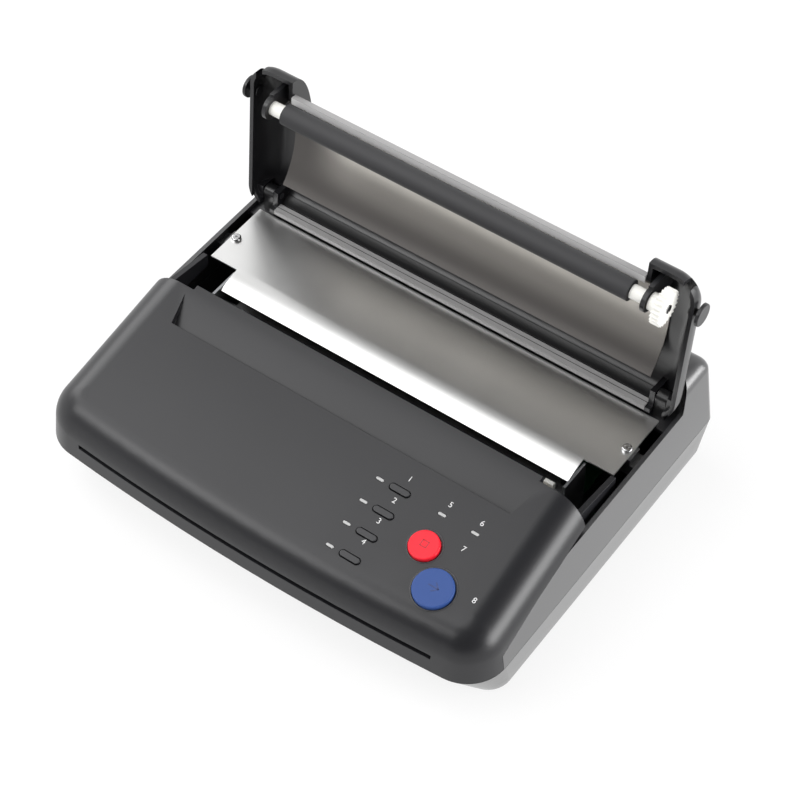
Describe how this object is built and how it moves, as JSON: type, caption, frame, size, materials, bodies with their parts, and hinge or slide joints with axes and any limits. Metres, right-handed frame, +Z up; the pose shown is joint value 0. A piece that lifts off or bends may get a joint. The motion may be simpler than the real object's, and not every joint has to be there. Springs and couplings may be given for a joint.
{
  "type": "thermal stencil copier",
  "caption": "Desktop thermal stencil copier with a hinged lid carrying the platen roller, a sloping control panel and a document well.",
  "frame": {"origin": "on the surface it stands on, in the middle of its width and depth", "axes": "+X to the user's right along its width, +Y away from the user, +Z up; the lid is open"},
  "size_m": [0.29, 0.2318, 0.1591],
  "materials": {
    "housing_plastic": "fine matte moulding, charcoal",
    "lid_plastic": "satin moulding, black inside the lid",
    "tray_plastic": "fine matte moulding, dark grey",
    "liner_grey": "satin grey sheet",
    "strip_grey": "silver-grey trim strip",
    "bright_steel": "polished sheet with soft streaks",
    "frame_steel": "zinc-plated sheet",
    "screw_steel": "bright plated",
    "shaft_steel": "ground shaft",
    "heat_sink": "extruded, mill finish",
    "ceramic": "glazed ceramic strip",
    "black_rubber": "matt",
    "white_nylon": "natural nylon",
    "board_green": "circuit board",
    "glass": "clear flat glass",
    "motor_steel": "plated can",
    "black_plastic": "smooth black moulding",
    "red_cap": "gloss red",
    "blue_cap": "satin blue",
    "key_cap": "grey keys",
    "light_lens": "translucent lens"
  },
  "bodies": {
    "housing": {"base_tray": "tray_plastic", "rubber_feet": "black_rubber", "base_screws": "screw_steel", "rear_housing": "housing_plastic", "hinge_brackets": "frame_steel", "front_cover": "housing_plastic", "key_board": "board_green", "light_pipes": "light_lens", "paper_plate": "bright_steel", "plate_screws": "screw_steel", "thermal_head": "ceramic", "head_heat_sink": "heat_sink", "sheet_sensor": "white_nylon", "drive_motor": "motor_steel", "idler_pins": "shaft_steel", "gear_clips": "frame_steel", "feed_bushes": "white_nylon", "sensor_bar": "black_plastic", "sensor_glass": "glass", "side_frame_left": "frame_steel", "side_frame_right": "frame_steel", "main_board": "board_green", "power_board": "board_green", "power_inlet": "black_plastic", "switch_housing": "black_plastic"},
    "lid": {"lid_shell": "lid_plastic", "lid_liner": "liner_grey", "lid_edge_strip": "strip_grey", "hinge_strips": "strip_grey", "hinge_pins": "shaft_steel", "roller_bracket_left": "lid_plastic", "roller_bracket_right": "lid_plastic", "platen_bushes": "white_nylon"},
    "platen": {"platen_shaft": "shaft_steel", "platen_rubber": "black_rubber", "platen_gear": "white_nylon", "platen_clip": "frame_steel"},
    "latch_left": {"latch_button_left": "lid_plastic"},
    "latch_right": {"latch_button_right": "lid_plastic"},
    "stop_button": {"stop_button": "red_cap"},
    "copy_button": {"copy_button": "blue_cap"},
    "mode_key_1": {"mode_key_1": "key_cap"},
    "mode_key_2": {"mode_key_2": "key_cap"},
    "mode_key_3": {"mode_key_3": "key_cap"},
    "mode_key_4": {"mode_key_4": "key_cap"},
    "power_rocker": {"power_rocker": "black_plastic"},
    "feed_roller": {"feed_shaft": "shaft_steel", "feed_tyres": "black_rubber", "feed_gear": "white_nylon"},
    "front_idler": {"idler_gear_front": "white_nylon"},
    "rear_idler": {"idler_gear_rear": "white_nylon"},
    "motor_rotor": {"motor_pinion": "shaft_steel"}
  },
  "joints": [
    {"name": "lid_hinge", "type": "hinge", "parent": "housing", "child": "lid", "pos_m": [0, 0.081, 0.0669], "axis": [1, 0, 0], "range_deg": [0, 95.6]},
    {"name": "platen_spin", "type": "hinge", "parent": "lid", "child": "platen", "pos_m": [0, 0.07105, 0.14575], "axis": [1, 0, 0], "continuous": true},
    {"name": "latch_left_press", "type": "slide", "parent": "lid", "child": "latch_left", "axis": [1, 0, 0], "range_m": [0, 0.0009], "stiffness_N_per_m": 400},
    {"name": "latch_right_press", "type": "slide", "parent": "lid", "child": "latch_right", "axis": [-1, 0, 0], "range_m": [0, 0.0009], "stiffness_N_per_m": 400},
    {"name": "stop_press", "type": "slide", "parent": "housing", "child": "stop_button", "axis": [0, 0.213, -0.977], "range_m": [0, 0.0012], "stiffness_N_per_m": 500},
    {"name": "copy_press", "type": "slide", "parent": "housing", "child": "copy_button", "axis": [0, 0.213, -0.977], "range_m": [0, 0.0012], "stiffness_N_per_m": 500},
    {"name": "key_1_press", "type": "slide", "parent": "housing", "child": "mode_key_1", "axis": [0, 0.213, -0.977], "range_m": [0, 0.0012], "stiffness_N_per_m": 400},
    {"name": "key_2_press", "type": "slide", "parent": "housing", "child": "mode_key_2", "axis": [0, 0.213, -0.977], "range_m": [0, 0.0012], "stiffness_N_per_m": 400},
    {"name": "key_3_press", "type": "slide", "parent": "housing", "child": "mode_key_3", "axis": [0, 0.213, -0.977], "range_m": [0, 0.0012], "stiffness_N_per_m": 400},
    {"name": "key_4_press", "type": "slide", "parent": "housing", "child": "mode_key_4", "axis": [0, 0.213, -0.977], "range_m": [0, 0.0012], "stiffness_N_per_m": 400},
    {"name": "power_rock", "type": "hinge", "parent": "housing", "child": "power_rocker", "pos_m": [-0.06, 0.11152, 0.04182], "axis": [-1, 0, 0], "range_deg": [0, 16]},
    {"name": "front_idler_spin", "type": "hinge", "parent": "housing", "child": "front_idler", "pos_m": [0, -0.04929, 0.03846], "axis": [1, 0, 0], "continuous": true},
    {"name": "feed_spin", "type": "hinge", "parent": "housing", "child": "feed_roller", "pos_m": [0, -0.064, 0.0508], "axis": [1, 0, 0], "continuous": true},
    {"name": "rear_idler_spin", "type": "hinge", "parent": "housing", "child": "rear_idler", "pos_m": [0, -0.02063, 0.03569], "axis": [1, 0, 0], "continuous": true},
    {"name": "motor_spin", "type": "hinge", "parent": "housing", "child": "motor_rotor", "pos_m": [0, -0.04049, 0.02322], "axis": [1, 0, 0], "continuous": true}
  ],
  "couplings": [
    {"joint": "feed_spin", "follows": "front_idler_spin", "ratio": -2},
    {"joint": "rear_idler_spin", "follows": "front_idler_spin", "ratio": -0.8},
    {"joint": "motor_spin", "follows": "front_idler_spin", "ratio": -2.6667}
  ]
}
